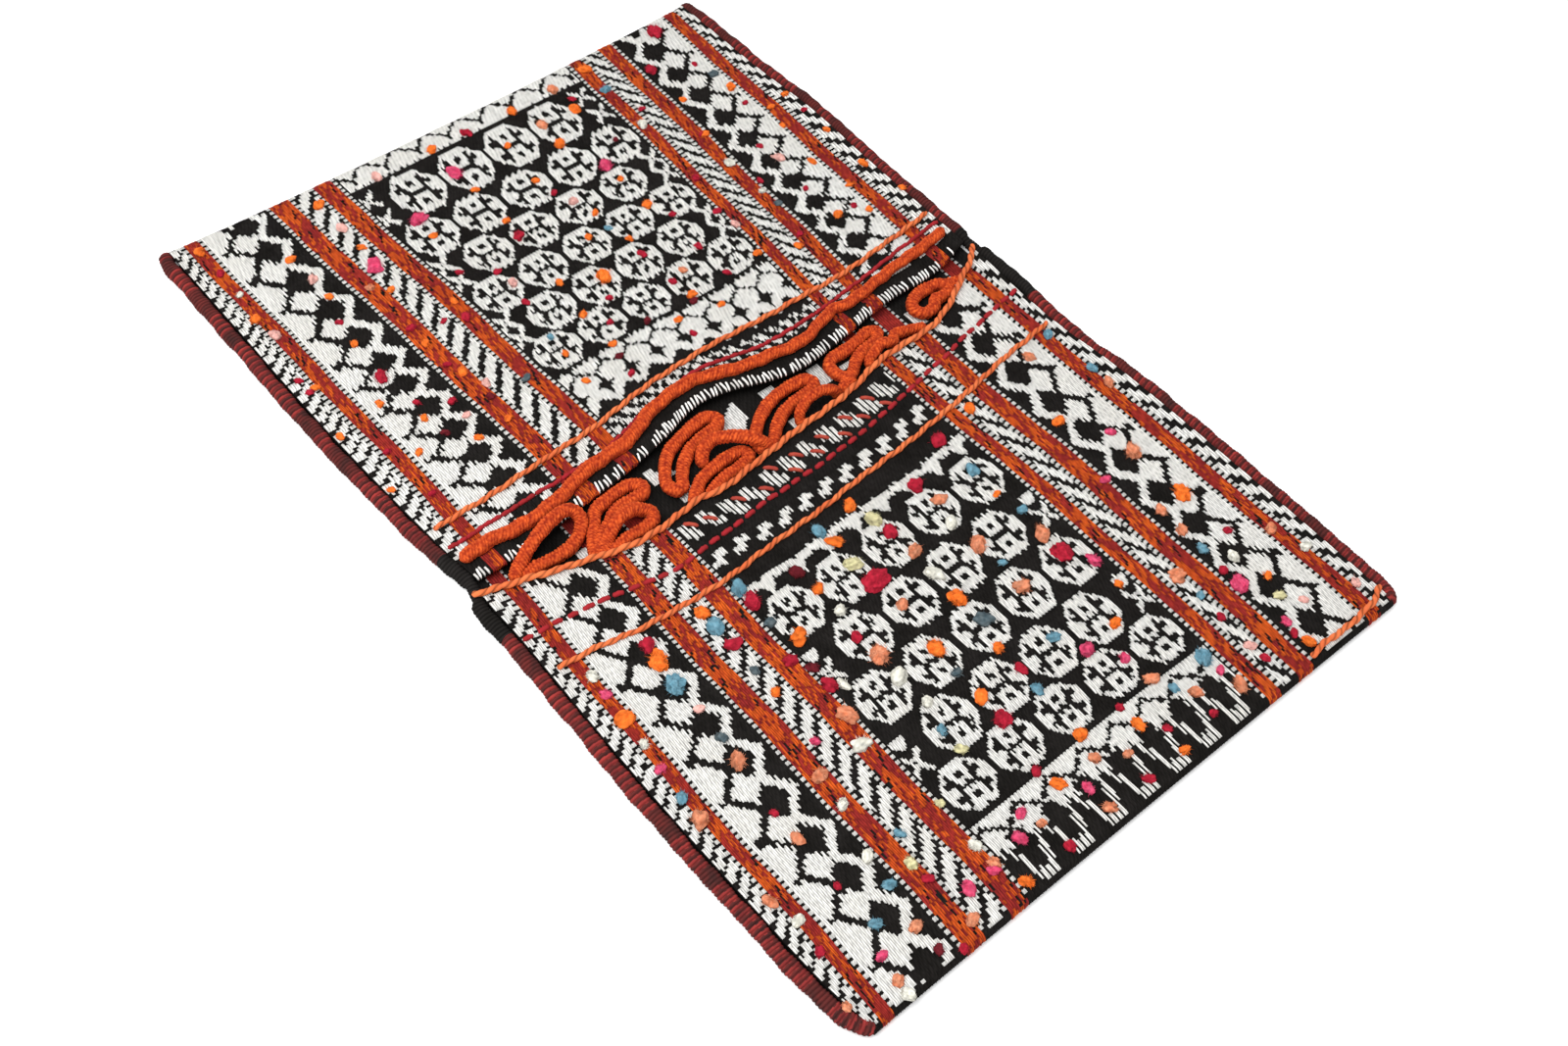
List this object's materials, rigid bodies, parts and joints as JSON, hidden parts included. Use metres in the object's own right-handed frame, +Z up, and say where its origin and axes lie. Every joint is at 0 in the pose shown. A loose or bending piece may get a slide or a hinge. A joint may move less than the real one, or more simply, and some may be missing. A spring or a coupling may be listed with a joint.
{
  "type": "kilim saddle bag",
  "caption": "Flat-woven wool saddle bag laid flat: one strip folded into two pouches joined by a bridge, with overcast sides, braided closing loops, sewn cords and wool tufts.",
  "frame": {"origin": "middle of the back panel's underside, which is the middle of the bag's footprint", "axes": "+Z up from the surface that the bag lies on, +Y along the strip towards the upper pouch, +X across it to the right"},
  "size_m": [0.513, 0.784, 0.0248],
  "materials": {
    "kilim_weave": "matt hand-spun wool in charcoal and undyed white, with orange and red warp bands",
    "binding_wool": "matt wool overcast in dark red and dark brown",
    "orange_braid": "matt braided wool, madder orange",
    "orange_cord": "matt plied wool cord, faded orange",
    "tuft_orange": "cut wool pile, bright orange",
    "tuft_crimson": "cut wool pile, crimson",
    "tuft_pink": "cut wool pile, pink",
    "tuft_peach": "cut wool pile, faded peach",
    "tuft_blue": "cut wool pile, grey blue",
    "tuft_cream": "cut wool pile, cream"
  },
  "bodies": {
    "root": {"woven_cloth": "kilim_weave", "side_binding_upper_left": "binding_wool", "side_binding_upper_right": "binding_wool", "side_binding_lower_left": "binding_wool", "side_binding_lower_right": "binding_wool", "mouth_braid_upper": "orange_braid", "mouth_cord_lower": "orange_cord", "couched_cord_upper": "orange_cord", "couched_cord_lower": "orange_cord", "corner_stitch_cord": "orange_cord", "closing_loop_01": "orange_braid", "closing_loop_02": "orange_braid", "closing_loop_03": "orange_braid", "closing_loop_04": "orange_braid", "closing_loop_05": "orange_braid", "closing_loop_06": "orange_braid", "closing_loop_07": "orange_braid", "closing_loop_08": "orange_braid", "closing_loop_09": "orange_braid", "closing_loop_10": "orange_braid", "closing_loop_11": "orange_braid", "tuft_01": "tuft_pink", "tuft_02": "tuft_pink", "tuft_03": "tuft_pink", "tuft_04": "tuft_pink", "tuft_05": "tuft_crimson", "tuft_06": "tuft_blue", "tuft_07": "tuft_orange", "tuft_08": "tuft_orange", "tuft_09": "tuft_orange", "tuft_10": "tuft_orange", "tuft_11": "tuft_crimson", "tuft_12": "tuft_crimson", "tuft_13": "tuft_orange", "tuft_14": "tuft_orange", "tuft_15": "tuft_cream", "tuft_16": "tuft_crimson", "tuft_17": "tuft_crimson", "tuft_18": "tuft_peach", "tuft_19": "tuft_orange", "tuft_20": "tuft_peach", "tuft_21": "tuft_orange", "tuft_22": "tuft_orange", "tuft_23": "tuft_crimson", "tuft_24": "tuft_peach", "tuft_25": "tuft_blue", "tuft_26": "tuft_orange", "tuft_27": "tuft_crimson", "tuft_28": "tuft_peach", "tuft_29": "tuft_orange", "tuft_30": "tuft_crimson"}
  },
  "joints": []
}
